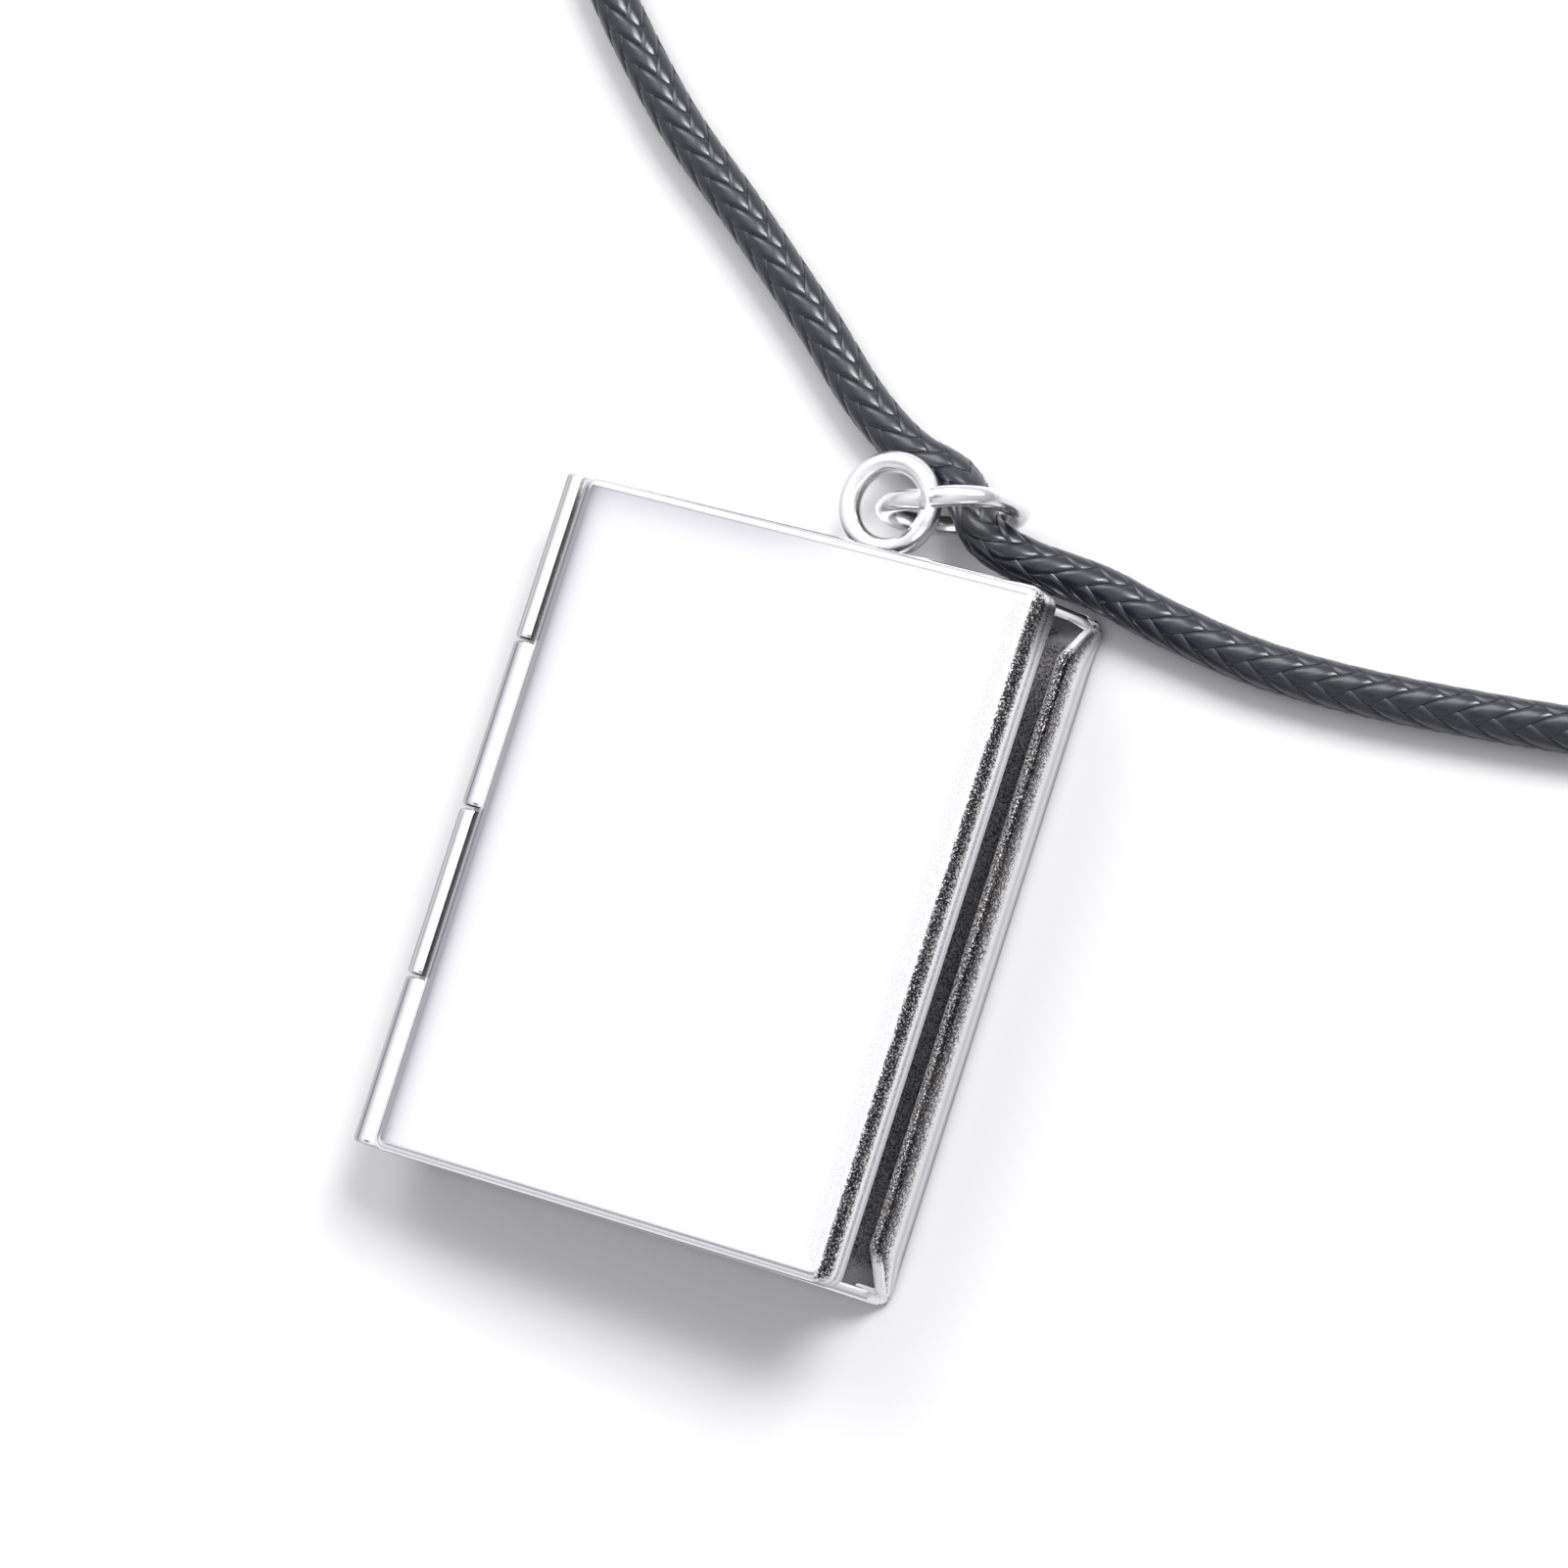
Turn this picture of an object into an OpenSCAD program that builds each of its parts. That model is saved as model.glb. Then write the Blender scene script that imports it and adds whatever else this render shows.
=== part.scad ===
// Book locket on a braided cord, lying on its back with the front cover ajar.
// Origin: centre of the back face. X runs across the locket, Y up along it, Z out of its face.

/* [Covers] */
// Width of each cover
cover_w = 23.2; // [20:0.1:23.6]
// Height of each cover along the hinge
cover_h = 30; // [26:0.5:30]
// Depth of the back cover, face to rim
back_depth = 2.9; // [2.6:0.1:3.2]
// Depth of the front cover, face to rim
front_depth = 1.7; // [1.4:0.1:2.2]
// Thickness of the sheet metal
sheet = 0.4; // [0.3:0.05:0.5]
// Outer rounding where a face turns into a wall
edge_r = 0.45; // [0.3:0.05:0.6]
// Rounding of the four corners seen from the front
corner_r = 0.6; // [0.55:0.05:1]
// Gap between the two rims when the locket is shut
rim_gap = 0.1; // [0.1:0.05:0.2]
// Width of the open notch at each corner of the back cover's rim
notch_w = 2.2; // [1:0.1:2.5]
// Height above the back face where each notch starts
notch_foot = 0.5; // [0.5:0.1:1]
// Angle by which the front cover stands open
rest_open = 5; // [0:1:10]

/* [Hinge] */
// Outer diameter of the hinge barrel
barrel_d = 2.1; // [1.9:0.1:2.2]
// Number of knuckles, shared by the two covers in turn
knuckle_count = 4; // [4, 6, 8]
// Gap between neighbouring knuckles
knuckle_gap = 0.15; // [0.1:0.05:0.3]
// Gap between a barrel and the wall of the other cover
barrel_gap = 0.3; // [0.15:0.05:0.3]
// Angle past the barrel's top at which the back cover's rolled knuckles end
curl_end = 5; // [0:1:20]
// Diameter of the hinge pin
pin_d = 0.9; // [0.7:0.1:1]
// Running gap around the hinge pin
pin_gap = 0.04; // [0.02:0.01:0.08]

/* [Rings] */
// Centre-line radius of the ring soldered to the back cover
eye_r = 1.875; // [1.85:0.025:1.95]
// Wire diameter of the soldered ring
eye_wire = 0.95; // [0.8:0.05:0.95]
// Centre-line radius of the jump ring
jump_r = 2.8; // [2.75:0.05:2.85]
// Wire diameter of the jump ring
jump_wire = 0.9; // [0.8:0.05:0.9]
// Angle of the split in the jump ring
split_angle = 4; // [2:1:12]

/* [Cord] */
// Diameter of the braided cord
cord_d = 2; // [1.8:0.1:2]
// Outer diameter of the clasp
clasp_d = 3.2; // [3.2:0.2:4]
// Length of the clasp
clasp_len = 12; // [10:1:14]

/* [Hidden] */
$fn = 64;

steel = [0.86, 0.86, 0.87];
black = [0.15, 0.15, 0.18];
cut = 1;

// Hinge axis, half way between the rims and just outside the left wall
barrel_overlap = 0.05;
hinge_x = barrel_overlap + sheet - (cover_w + barrel_d) / 2;
hinge_z = back_depth + rim_gap / 2;
knuckle_len = cover_h / knuckle_count;

// Soldered ring, lying in the plane of the back face and sunk into the top wall
eye_sink = 0.16;
eye_x = 1.4;
eye_y = cover_h / 2 - eye_sink + eye_r + eye_wire / 2;
eye_z = 2.4;

// Jump ring, standing upright through the soldered ring
jump_at = [eye_x + 3.3, eye_y + 0.34, jump_r + jump_wire / 2 + 0.02];
jump_turn = 17.5;

// Clasp, lying on the surface at the far side of the loop
clasp_at = [43, 155, clasp_d / 2];
socket_gap = 0.08;
socket_len = 3;
cord_end_gap = 0.2;
cord_end_x = clasp_len / 2 - socket_len + cord_end_gap;

// Height of the cord's axis where one of its eight flats rests on the surface
cord_sides = 8;
rest_z = cord_d / 2 * cos(180 / cord_sides);
lift_z = clasp_at[2] - rest_z;
rings_per_point = 2;

// Route of the cord's axis: across, along, and height above its resting place
cord_route = [
    [clasp_at[0] + cord_end_x, clasp_at[1], lift_z],
    [clasp_at[0] + clasp_len / 2 + 0.5, clasp_at[1], lift_z],
    [53, 154.9, 0.4],
    [62, 153.4, 0],
    [77, 149, 0],
    [91, 141, 0],
    [102, 129.5, 0],
    [109, 115, 0],
    [112, 98, 0],
    [111, 81, 0],
    [106, 64, 0],
    [96.5, 48.5, 0],
    [83, 35.5, 0],
    [67, 25.5, 0],
    [50.5, 19.2, 0],
    [37, 16.1, 0],
    [27, 15, 0],
    [19.8, 14.85, 0],
    [14.6, 15.5, 0.05],
    [11.4, 16.15, 0.45],
    [8, 16.4, 1.15],
    [6, 17, 1.38],
    [4.8, 18.15, 0.95],
    [3.2, 19.2, 0.15],
    [0.8, 19.85, 0],
    [-2, 21.5, 0],
    [-5.3, 24.2, 0],
    [-10, 27.8, 0],
    [-15.6, 32, 0],
    [-21.6, 38.2, 0],
    [-27.3, 46.8, 0],
    [-31.6, 58, 0],
    [-33.6, 72, 0],
    [-33.2, 87, 0],
    [-29.6, 102, 0],
    [-22.6, 117, 0],
    [-12, 131, 0],
    [2, 143, 0],
    [17, 151, 0],
    [32, 154.9, 0.4],
    [clasp_at[0] - clasp_len / 2 - 0.5, clasp_at[1], lift_z],
    [clasp_at[0] - cord_end_x, clasp_at[1], lift_z]
];

// Rounded rectangle centred on the origin
module round_rect(size, r) {
    square([size[0] - 2 * r, size[1]], center = true);
    square([size[0], size[1] - 2 * r], center = true);
    for (sx = [-1, 1], sy = [-1, 1])
        translate([sx * (size[0] / 2 - r), sy * (size[1] / 2 - r)])
            circle(r);
}

// Section of a cover: a flat face below, rounded into two upright walls
module tray_section(width, depth) {
    translate([-width / 2, edge_r])
        square([width, depth - edge_r]);
    translate([-width / 2 + edge_r, 0])
        square([width - 2 * edge_r, depth]);
    for (side = [-1, 1])
        translate([side * (width / 2 - edge_r), edge_r])
            circle(edge_r);
}

// Shallow tray with its face at the bottom and its mouth up
module tray(depth) {
    difference() {
        intersection() {
            rotate([90, 0, 0])
                linear_extrude(cover_h + 2 * cut, center = true)
                    tray_section(cover_w, depth);
            rotate([90, 0, 90])
                linear_extrude(cover_w + 2 * cut, center = true)
                    tray_section(cover_h, depth);
            translate([0, 0, -cut])
                linear_extrude(depth + 2 * cut)
                    round_rect([cover_w, cover_h], corner_r);
        }
        translate([0, 0, sheet])
            linear_extrude(depth)
                round_rect([cover_w - 2 * sheet, cover_h - 2 * sheet], corner_r - sheet);
    }
}

// Slanting half of a notch: cuts one wall from the corner inwards
module notch_cut(depth) {
    rise = depth - notch_foot;
    rotate([90, 0, 0])
        linear_extrude(sheet + cut)
            polygon([
                [-cut, notch_foot],
                [0, notch_foot],
                [notch_w * (1 + cut / rise), depth + cut],
                [-cut, depth + cut]
            ]);
}

// Notches in both walls at all four corners of the back cover
module corner_notches() {
    for (sx = [0, 1], sy = [0, 1])
        mirror([sx, 0, 0])
            mirror([0, sy, 0])
                translate([-cover_w / 2, -cover_h / 2, 0]) {
                    translate([0, sheet, 0])
                        notch_cut(back_depth);
                    rotate([0, 0, 90])
                        translate([0, cut, 0])
                            notch_cut(back_depth);
                }
}

// Cylinder along the hinge axis over one knuckle's place, counted from the top
module knuckle_rod(i, r, shorten) {
    translate([hinge_x, cover_h / 2 - i * knuckle_len - shorten, hinge_z])
        rotate([90, 0, 0])
            cylinder(r = r, h = knuckle_len - 2 * shorten);
}

// Round knuckles of one cover
module knuckles(first) {
    for (i = [first : 2 : knuckle_count - 1])
        knuckle_rod(i, barrel_d / 2, knuckle_gap / 2);
}

// Strips of wall that one cover's knuckles are rolled from
module knuckle_strips(first, strip_from, strip_to) {
    for (i = [first : 2 : knuckle_count - 1])
        translate([-cover_w / 2, cover_h / 2 - (i + 1) * knuckle_len + knuckle_gap / 2, strip_from])
            cube([sheet, knuckle_len - knuckle_gap, strip_to - strip_from]);
}

// Wedge along the barrel that leaves rolled knuckles open, from where they end to the hinge plane
module curl_opening() {
    reach = barrel_d;
    translate([hinge_x, 0, hinge_z])
        rotate([90, 0, 0])
            linear_extrude(cover_h + 2 * cut, center = true)
                polygon([[0, 0], [reach * tan(curl_end), reach], [reach, reach], [reach, 0]]);
}

// Room that a cover leaves for the other cover's knuckles
module knuckle_room(first) {
    for (i = [first : 2 : knuckle_count - 1])
        knuckle_rod(i, barrel_d / 2 + barrel_gap, -knuckle_gap / 2);
}

// Bore for the hinge pin along the whole barrel
module pin_bore() {
    translate([hinge_x, 0, hinge_z])
        rotate([90, 0, 0])
            cylinder(d = pin_d + 2 * pin_gap, h = cover_h + 2 * cut, center = true);
}

// Round wire ring lying in the XY plane, from one angle over a span
module wire_ring(r, wire, start, span) {
    rotate([0, 0, start])
        rotate_extrude(angle = span)
            translate([r, 0])
                circle(d = wire);
}

// Back tray with the first and third knuckles, which are open rolls, and the soldered ring
module back_cover() {
    color(steel)
        difference() {
            union() {
                difference() {
                    tray(back_depth);
                    corner_notches();
                    knuckle_room(1);
                }
                difference() {
                    knuckles(0);
                    curl_opening();
                }
                knuckle_strips(0, back_depth - barrel_d / 2, hinge_z);
                translate([eye_x, eye_y, eye_z])
                    wire_ring(eye_r, eye_wire, 0, 360);
            }
            pin_bore();
        }
}

// Front tray with the second and fourth knuckles, turned open about the hinge
module front_cover() {
    color(steel)
        translate([hinge_x, 0, hinge_z])
            rotate([0, -rest_open, 0])
                translate([-hinge_x, 0, -hinge_z])
                    difference() {
                        union() {
                            difference() {
                                translate([0, 0, back_depth + rim_gap + front_depth])
                                    mirror([0, 0, 1])
                                        tray(front_depth);
                                knuckle_room(0);
                            }
                            knuckles(1);
                            knuckle_strips(1, hinge_z, hinge_z + barrel_d / 2);
                        }
                        pin_bore();
                    }
}

// Plain pin, flush with the ends of the barrel
module hinge_pin() {
    color(steel)
        translate([hinge_x, 0, hinge_z])
            rotate([90, 0, 0])
                cylinder(d = pin_d, h = cover_h - knuckle_gap, center = true);
}

// Upright split ring with the split at its top
module jump_ring() {
    color(steel)
        translate(jump_at)
            rotate([90, 0, jump_turn])
                wire_ring(jump_r, jump_wire, 90 + split_angle / 2, 360 - split_angle);
}

// Point on the smooth curve between two route points, with t from 0 to 1
function between(a, b, c, d, t) =
    (2 * b + (c - a) * t + (2 * a - 5 * b + 4 * c - d) * t * t + (3 * b - a - 3 * c + d) * t * t * t) / 2;

// Route point by number, carried straight on past both ends
function route_at(i) =
    let (last = len(cord_route) - 1)
    i < 0 ? 2 * cord_route[0] - cord_route[1] :
    i > last ? 2 * cord_route[last] - cord_route[last - 1] :
    cord_route[i];

// Places the axis above the surface and keeps it from sagging through
function lifted(p) = [p[0], p[1], rest_z + max(p[2], 0)];

// Centres of the cord's rings
function ring_centres() = [
    for (i = [0 : len(cord_route) - 2], k = [0 : rings_per_point - 1])
        lifted(between(route_at(i - 1), route_at(i), route_at(i + 1), route_at(i + 2), k / rings_per_point)),
    lifted(route_at(len(cord_route) - 1))
];

function unit(v) = v / norm(v);

// Direction of the cord at one ring
function heading(path, i) = unit(path[min(i + 1, len(path) - 1)] - path[max(i - 1, 0)]);

// Corners of the cord's section at one ring, with a flat side down
function section_at(centre, along) =
    let (side = unit(cross([0, 0, 1], along)), up = cross(along, side))
    [for (k = [0 : cord_sides - 1])
        let (a = (k + 0.5) * 360 / cord_sides)
        centre + cord_d / 2 * (side * cos(a) + up * sin(a))];

// Cord as one tube swept along its route, both ends inside the clasp
module cord() {
    path = ring_centres();
    rings = len(path);
    corners = [for (i = [0 : rings - 1]) each section_at(path[i], heading(path, i))];
    sides = [
        for (i = [0 : rings - 2], k = [0 : cord_sides - 1])
            let (n = (k + 1) % cord_sides, here = i * cord_sides, next = here + cord_sides)
            [here + k, here + n, next + n, next + k]
    ];
    start_cap = [for (k = [cord_sides - 1 : -1 : 0]) k];
    end_cap = [for (k = [0 : cord_sides - 1]) (rings - 1) * cord_sides + k];
    color(black)
        polyhedron(corners, concat([start_cap], sides, [end_cap]));
}

// Plain round clasp with a blind socket for each end of the cord
module clasp() {
    color(steel)
        translate(clasp_at)
            rotate([0, 90, 0])
                difference() {
                    cylinder(d = clasp_d, h = clasp_len, center = true);
                    for (end = [-1, 1])
                        translate([0, 0, end * (clasp_len + cut - socket_len) / 2])
                            cylinder(d = cord_d + 2 * socket_gap, h = socket_len + cut, center = true);
                }
}

back_cover();
front_cover();
hinge_pin();
jump_ring();
cord();
clasp();
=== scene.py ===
"""Book locket on a braided waxed cord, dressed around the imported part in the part's own frame."""

import math

import bmesh
import bpy
import numpy as np
from mathutils import Matrix, Vector


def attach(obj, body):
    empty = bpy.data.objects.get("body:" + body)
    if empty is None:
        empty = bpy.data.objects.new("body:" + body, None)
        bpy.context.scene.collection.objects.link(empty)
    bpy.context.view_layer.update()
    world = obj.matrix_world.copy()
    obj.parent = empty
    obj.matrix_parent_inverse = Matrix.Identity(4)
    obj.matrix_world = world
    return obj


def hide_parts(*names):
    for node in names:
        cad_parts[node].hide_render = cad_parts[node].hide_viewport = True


MM = 0.001

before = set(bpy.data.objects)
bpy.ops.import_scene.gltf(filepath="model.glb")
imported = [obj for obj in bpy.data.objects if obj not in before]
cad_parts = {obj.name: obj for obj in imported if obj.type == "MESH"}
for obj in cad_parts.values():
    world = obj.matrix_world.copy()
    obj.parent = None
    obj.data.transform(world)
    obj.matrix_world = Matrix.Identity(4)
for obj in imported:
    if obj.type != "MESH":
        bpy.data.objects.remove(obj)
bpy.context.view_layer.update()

# Camera, solved from the locket's edges in the photograph: its place in millimetres, and its axes
CAMERA_AT = (160.44, -22.21, 323.05)
CAMERA_RIGHT = (0.8625, 0.30438, -0.40428)
CAMERA_DOWN = (0.24141, -0.94961, -0.19993)
CAMERA_FORWARD = (-0.44477, 0.07484, -0.89251)
SENSOR = 36.0
LENS = 196.75
# Nearest and farthest distance that it sees, in metres
CLIP_NEAR = 0.01
CLIP_FAR = 20

# Covers, in millimetres
COVER_W = 23.2
COVER_H = 30.0
BACK_DEPTH = 2.9
FRONT_DEPTH = 1.7
SHEET = 0.48
# Radius of the bend round a face, and how much it differs at the hinge side and at the lower end
BEND_R = 0.45
HINGE_SIDE_BEND = 0.2
LOWER_END_BEND = -0.08
# Corners seen from the front, rounding of the rims, and the gap between them
CORNER_R = 0.68
BACK_RIM_ROUND = 0.3
FRONT_RIM_ROUND = 0.14
LIP_EDGE = 0.05
INNER_FILLET = 0.2
RIM_GAP = 0.1
# V-shaped notch at each corner of the back tray, and how strongly its slope squeezes the wall's wear and
# painted shade
NOTCH_W = 2.2
NOTCH_FOOT = 0.5
NOTCH_SQUEEZE = 0.8
# How far the front cover stands open at rest, in degrees
REST_OPEN = 5.0

# Barrel hinge, in millimetres
BARREL_R = 1.05
BARREL_GAP = 0.3
KNUCKLES = 4
KNUCKLE_GAP = 0.15
KNUCKLE_ROUND = 0.14
BORE_R = 0.49
PIN_R = 0.45
PIN_EDGE = 0.05
HINGE_X = -12.2
HINGE_Z = BACK_DEPTH + RIM_GAP / 2
# Rounded end of a knuckle: parts of its rounding along the hinge, and in from the outside
KNUCKLE_END = ((0, 1), (0.3, 0.3), (1, 0), (1.3, 0))
# Open curl of the back knuckles, in degrees from straight up towards the covers
CURL_FROM = -270
CURL_TO = 4

# Rings, in millimetres; the jump ring's turn and split are in degrees
EYE_AT = (1.4, 17.19, 2.4)
EYE_R = 1.875
EYE_WIRE = 0.95
JUMP_AT = (4.7, 17.53, 3.27)
JUMP_R = 2.8
JUMP_WIRE = 0.9
JUMP_TURN = 17.5
SPLIT_ANGLE = 4.0
# Angle over which the jump ring's ends are bent out of line, in radians, and how far they are bent
SPLIT_BEND = 0.9
LEFT_END_OUT = 0.28
RIGHT_END_IN = 0.42
LEFT_END_FORWARD = 0.25

# Clasp, in millimetres
CLASP_AT = (43.0, 155.0, 1.6)
CLASP_LEN = 12.0
CLASP_R = 1.6
CLASP_ROUND = 0.2
SOCKET_R = 1.08
SOCKET_LEN = 3.0

# Cord, in millimetres; its route gives across, along, and height above its resting place
CORD_R = 1.0
LIFT = 0.6
CORD_ROUTE = [
    (46.2, 155, LIFT), (49.5, 155, LIFT), (53, 154.9, 0.4), (62, 153.4, 0), (77, 149, 0),
    (91, 141, 0), (102, 129.5, 0), (109, 115, 0), (112, 98, 0), (111, 81, 0), (106, 64, 0),
    (96.5, 48.5, 0), (83, 35.5, 0), (67, 25.5, 0), (50.5, 19.2, 0), (37, 16.1, 0), (27, 15, 0),
    (19.8, 14.85, 0), (14.6, 15.5, 0.05), (11.4, 16.15, 0.45), (8, 16.4, 1.15), (6, 17, 1.38),
    (4.8, 18.15, 0.95), (3.2, 19.2, 0.15), (0.8, 19.85, 0), (-2, 21.5, 0), (-5.3, 24.2, 0),
    (-10, 27.8, 0), (-15.6, 32, 0), (-21.6, 38.2, 0), (-27.3, 46.8, 0), (-31.6, 58, 0),
    (-33.6, 72, 0), (-33.2, 87, 0), (-29.6, 102, 0), (-22.6, 117, 0), (-12, 131, 0), (2, 143, 0),
    (17, 151, 0), (32, 154.9, 0.4), (36.5, 155, LIFT), (39.8, 155, LIFT),
]
ROUTE_STEP = 0.1
CORE_STEP = 1.2

# The braid: twelve strands, each over two and under two; lead in millimetres, turn in degrees
STRANDS = 12
BRAID_LEAD = 9.6
BRAID_TURN = 21.0
BRAID_CORE_R = 0.8
BRAID_R = 0.93
BRAID_SWING = 0.055
STRAND_W = 0.86
# A strand's section: part of its width, and height above its middle
STRAND_EDGE = ((-0.5, -0.06), (-0.47, -0.02), (-0.2, 0.004), (0.2, 0.004), (0.47, -0.02), (0.5, -0.06))
# Angle that a strand turns by while it passes two others, and for each millimetre along
STRETCH = 4 * math.pi / STRANDS
BRAID_RATE = 2 * math.pi / BRAID_LEAD
# Parts of that stretch: where the strand changes between over and under, the places where it is drawn,
# counted from that change, and how far beyond the change it stays on top
CHANGE_AT = 0.75
STRAND_STOPS = (-0.05, 0.05, 0.36, 0.64)
STRAND_OVERLAP = 0.02

# Fineness of the meshes
ROUTE_PARTS = 40
CORE_SIDES = 12
CORNER_STEPS = 8
CURL_STEPS = 48
BEND_STEPS = 8
WALL_STEPS = 12
LATHE_STEPS = 48
RING_STEPS = 120
RING_SIDES = 28
NOTCH_STOPS = 9
CORNER_STOPS = (0.95, 1.2, 1.5)
FACE_INSETS = (3.2, 2, 1.4, 1.0, 0.75, 0.55, 0.4, 0.28, 0.18, 0.1, 0.055, 0.01)
RIM_TURNS = (15, 30, 45, 60, 75, 90)
INSIDE_INSETS = (0, 0.2, 0.7, 1.3, 2, 3, 4.5, 6, 8, 10)
# Distance in from the bend over which the face's loops even out the bend's differences in width
FACE_EVEN = 0.3
TINY = 0.004
AXIS_R = 0.001
SAME_POINT = 0.0001
SHARP_ANGLE = 40

# Wear and painted shade of the right-hand walls: height above the face, dark grain (the steel's speckle
# darkened as a painted dark reflection), grey painted shade
FRONT_SIDE = (
    (0.45, 0.9, 0), (0.55, 0.74, 0), (0.65, 0.44, 0), (0.75, 0.12, 0), (0.85, 0, 0), (0.95, 0.12, 0.25),
    (1.06, 0.28, 0.6), (1.16, 0.1, 0.5), (1.26, 0, 0.2), (1.46, 0, 0.6), (1.7, 0, 0.8),
)
BACK_SIDE = (
    (0, 0.4, 1), (0.2, 0.3, 1), (0.3, 0, 1), (0.45, 0, 0.9), (0.7, 0, 0.3), (0.87, 0, 0.2), (1.05, 0, 0.6),
    (1.24, 0, 0.3), (1.42, 0.02, 0), (1.61, 0.14, 0), (1.8, 0.4, 0), (1.98, 0.66, 0), (2.16, 0.87, 0),
    (2.35, 1.02, 0), (2.5, 1.15, 0), (2.9, 1.15, 0),
)
# Dark grain of the right-hand bend and rim, the steel's speckle darkened as a painted dark reflection, and
# mattness of that rim, by the angle turned so far
FRONT_BEND_GRAIN_AND_DARK_REFLECTION = ((12, 0), (19, 0.35), (25, 1.05), (32, 1.2), (45, 1.05), (90, 0.94))
BACK_RIM_GRAIN_AND_DARK_REFLECTION = ((0, 1.2), (62, 1.2), (72, 0.82), (80, 0.92), (90, 0.75))
BACK_RIM_MATT = ((55, 0), (75, 0.8))
# Painted shade line along the outside of the upper and lower edges, a painted contact shadow at the lower
# one, by the angle turned so far
OUTER_LINE = ((66, 0), (77, 1), (90, 1))
# Strength of that painted line, and of the painted shade in the crease round the face, at the upper and at
# the lower edge
OUTER_SHADE = (0.6, 1)
CREASE_SHADE = (0.4, 0.2)
# Painted shade on the front cover's bend at the hinge and at the lower end, and the angle turned that it
# reaches to beside a rolled knuckle and beside a plain one
HINGE_BEND_SHADE = 0.82
LOWER_BEND_SHADE = 0.1
HINGE_BEND_REACH = (75, 27)
# Faint specks on the front face, by distance from the right-hand bend
FACE_SPECKS = ((0.05, 0), (0.1, 0.07), (0.4, 0.07), (1, 0))
# Painted shade on the front face beside the hinge and under the upper edge: strength and reach
HINGE_SHADE = (0.9, 0.43)
TOP_SHADE = (0.36, 0.9)
# What is left of the painted shade under the upper edge, by the place across
TOP_FADE = ((-2, 1), (2.25, 0.15))
# Roughness of the front face beside the right-hand bend, and how far it reaches
FACE_ROUGH = (0.6, 0.15)
# Painted dark grain and painted shade inside the back cover, darker towards the slot, by distance from its
# right-hand edge
BACK_INSIDE_PAINTED_DARK = ((5, 0.45), (8, 0.15))
BACK_INSIDE_SHADE = ((5, 0.8), (8, 0.6))
# Size of the painted lighter patches in its two open corners, across and along, and their grain and painted
# greys
OPEN_CORNER = (2.5, 1.2)
OPEN_CORNER_GRAIN = 0.1
UPPER_CORNER_SHADE = 0.2
LOWER_CORNER_SHADE = 0.5
# Painted shade and painted reflection of the grey surroundings on the barrel's outside, by angle from
# straight up: the rolled knuckles, then the front cover's
ROLLED_BARREL = ((-90, 1), (-60, 1), (-50, 0.95), (-42, 0.85), (-36, 0.5), (-30, 0.15), (-20, 0), (5, 0))
PLAIN_BARREL = (
    (-90, 0.7), (-50, 0.7), (-35, 0.75), (-28, 0.65), (-21, 0.6), (-15, 0.48), (-9, 0.28), (-4, 0.1),
    (2, 0), (90, 0),
)
# Painted dark grain of the rolled knuckles by the same angle, so a painted shade on the locket's left
# outline
OUTLINE_PAINTED_DARK = ((-90, 0.3), (-56, 0.3), (-46, 0))
# Dark grain, grey, roughness and mattness inside the front cover, whose grey is painted shade, and of the
# small parts, the pin's grey being painted shade inside the barrel
FRONT_INSIDE_PAINTED_SHADE = (0.15, 0.6, 0.3, 1)
PIN_PAINTED_SHADE = (0.1, 0.4, 1, 0.5)
RING_WEAR = (0, 0.12, 0.4, 0.02)
EYE_WEAR = (0, 0.12, 0.8, 0.12)

# Steel: clean metal and the grey that painted shade mixes in, and the two colours of its dark grain and
# painted darkness
CLEAN_STEEL = (0.87, 0.87, 0.875, 1)
SHADED_STEEL = (0.22, 0.21, 0.24, 1)
BLACK_GRAIN = (0.02, 0.02, 0.022, 1)
BROWN_GRAIN = (0.045, 0.038, 0.038, 1)
# Repeats per metre of the grain and of the scratches across, along and up, and of the broad patches
GRAIN_SCALE = (14000, 12000, 9000)
SCRATCH_SCALE = (9000, 700, 9000)
TINT_SCALE = 900
GLOSS_SCALE = 220
# Range that most values of a noise lie in, and the part of it where black grain turns brown
NOISE_RANGE = (0.3, 0.7)
BROWN_RANGE = (0.45, 0.62)
# How much the grain swings between dark and clean, and the amount of dark grain and painted darkness at
# which it swings fully
SPECK_SWING = 0.85
SPECK_FULL = 0.4
# Roughness of polished steel, and what full wear and full mattness add to it
POLISH = (0.05, 0.1)
ROUGH_STEP = 0.16
MATT_STEP = 0.4
# Depth of the scratches against the grain, and strength and height of the bump, in metres
SCRATCH_DEPTH = 0.03
STEEL_BUMP = (0.5, 0.00004)

# Waxed yarn: its two colours and the painted shade in its seams, and its filaments' repeats across a strand
# and along it
YARN_DARK = (0.004, 0.0045, 0.008, 1)
YARN_LIGHT = (0.01, 0.011, 0.018, 1)
SEAM_PAINTED_SHADE = (0.001, 0.001, 0.002, 1)
CORD_INSIDE = (0.004, 0.004, 0.005, 1)
YARN_SCALE = (26, 1.6, 1)
# Distances from a strand's edge, as parts of its width, over which the seam's painted shade and the dull
# edge end
SEAM_SHADE_ENDS = (0.03, 0.09)
DULL_EDGE_ENDS = (0.06, 0.2)
# Roughness at a strand's edge and on top of it, and strength and height of its bump, in metres
YARN_ROUGH = (0.95, 0.3)
YARN_SPECULAR = 0.54
YARN_BUMP = (0.2, 0.00003)

# The surface under the necklace: its grey, and half its side in millimetres
FLOOR_GREY = (0.5, 0.5, 0.504, 1)
FLOOR_HALF = 4000

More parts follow.
